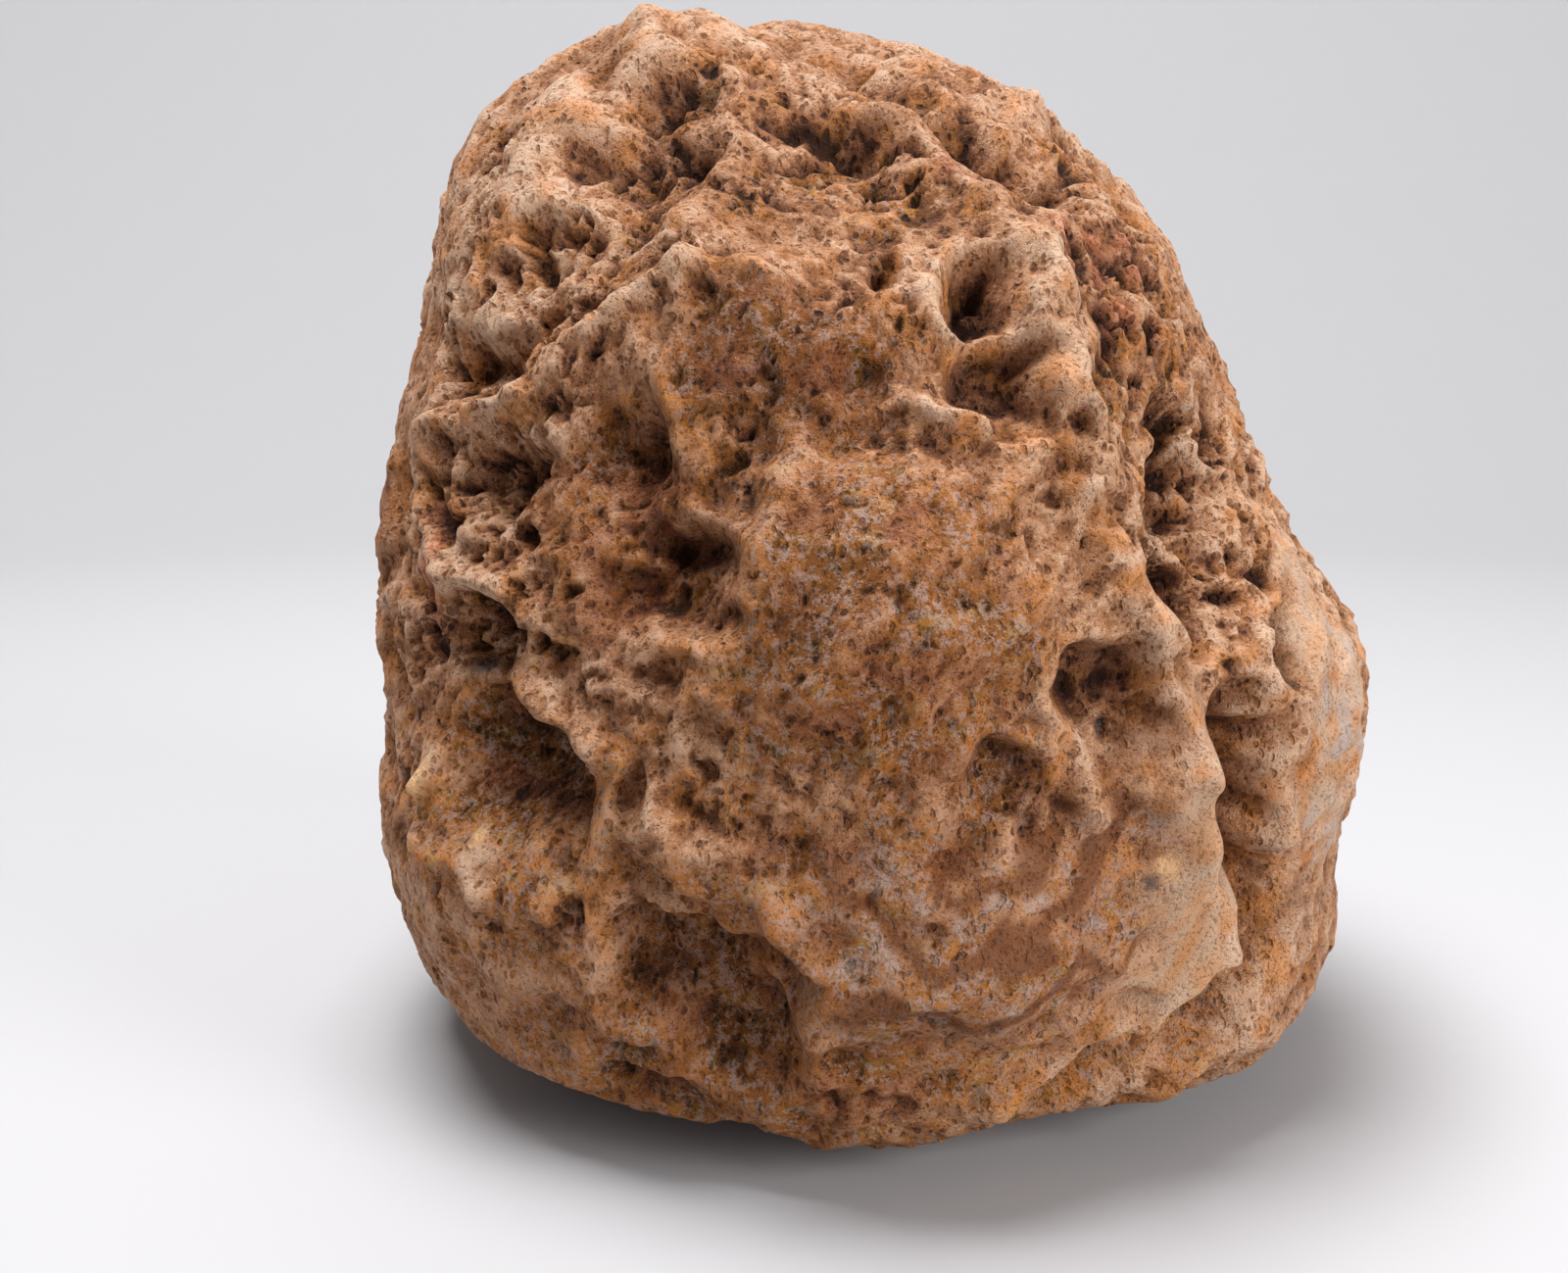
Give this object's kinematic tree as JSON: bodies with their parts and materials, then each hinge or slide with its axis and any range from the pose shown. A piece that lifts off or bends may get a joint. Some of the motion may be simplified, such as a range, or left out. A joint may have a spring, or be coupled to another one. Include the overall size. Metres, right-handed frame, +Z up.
{
  "type": "unopened geode",
  "caption": "Whole rounded nodule of brown pitted chalcedony, unopened, with ridges and deep hollows, standing on a small flat underneath.",
  "frame": {"origin": "on the surface the stone stands on, under the middle of its bounding box", "axes": "+Z up, -Y towards the side with the big rounded nose, +X towards the smooth agate lobe"},
  "size_m": [0.1194, 0.1194, 0.1202],
  "materials": {
    "rind": "satin, waxy on the worn crests and matte in the hollows"
  },
  "bodies": {
    "root": {"geode": "rind"}
  },
  "joints": []
}
